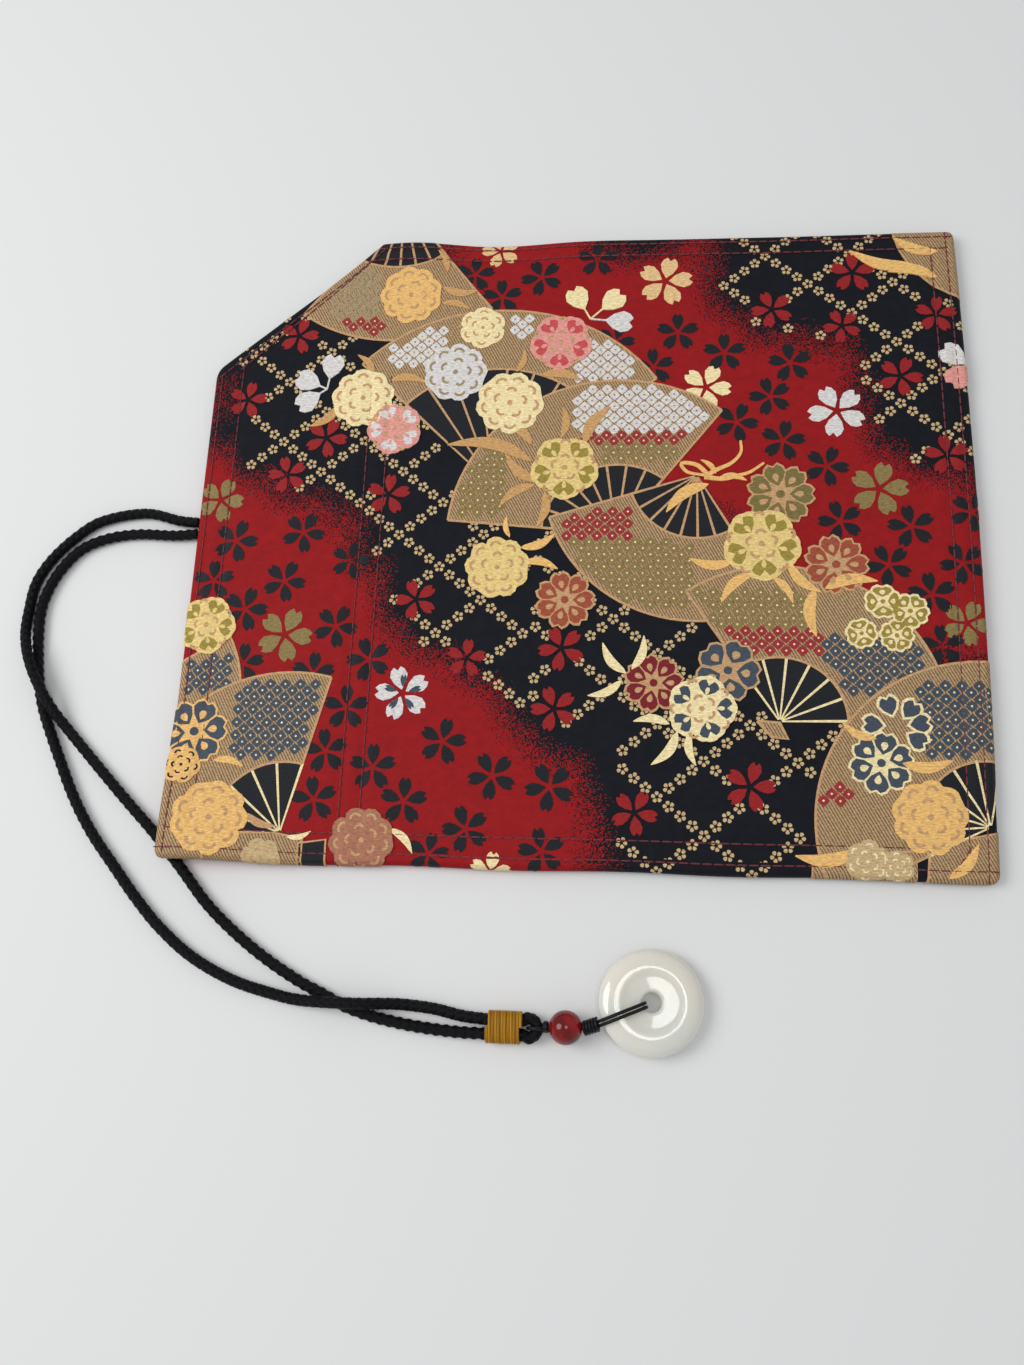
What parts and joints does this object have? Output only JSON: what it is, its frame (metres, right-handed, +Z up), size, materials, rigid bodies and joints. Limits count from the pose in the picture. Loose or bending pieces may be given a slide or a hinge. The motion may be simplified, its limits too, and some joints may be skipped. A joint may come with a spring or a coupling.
{
  "type": "pen pouch",
  "caption": "Flat brocade pen pouch with a cut corner, lying open with its outside up, with a braided cord loop that carries a bead and a stone ring",
  "frame": {"origin": "middle of the pouch's outline on the surface that it lies on, without the cord loop", "axes": "+X along the near long edge away from the cord, +Y across the pouch away from that edge, +Z up out of its outside"},
  "size_m": [0.2531, 0.2206, 0.0081],
  "materials": {
    "brocade": "woven brocade, deep red and black with fans and flowers in dull gold, cream and olive thread, soft satin sheen",
    "felt": "matte off-white needle felt",
    "lining_cotton": "plain woven wine-red cotton, matte",
    "black_braid": "round braid of black thread, faint sheen",
    "gold_silk": "twisted silk thread in deep golden yellow, soft sheen",
    "black_thread": "thin waxed black thread, slight gloss",
    "carnelian": "polished dark red stone, translucent at its rim",
    "jade": "polished milky white jade with a faint green cast and cream patches"
  },
  "bodies": {
    "pouch": {"outer_cover": "brocade", "padding": "felt", "lining": "lining_cotton", "pocket_panel": "lining_cotton", "braided_cord": "black_braid", "cord_binding": "gold_silk", "bead_thread": "black_thread", "ring_thread_near": "black_thread", "ring_thread_far": "black_thread", "thread_knot": "black_thread"},
    "bead": {"carnelian_bead": "carnelian"},
    "ring": {"jade_ring": "jade"}
  },
  "joints": [
    {"name": "bead_turn", "type": "hinge", "parent": "pouch", "child": "bead", "pos_m": [0.00105, -0.1256, 0.00405], "axis": [1, 0, 0], "continuous": true},
    {"name": "ring_turn", "type": "hinge", "parent": "pouch", "child": "ring", "pos_m": [0.02102, -0.1192, 0.00342], "axis": [0.0962, 0.0408, 0.9945], "continuous": true}
  ]
}
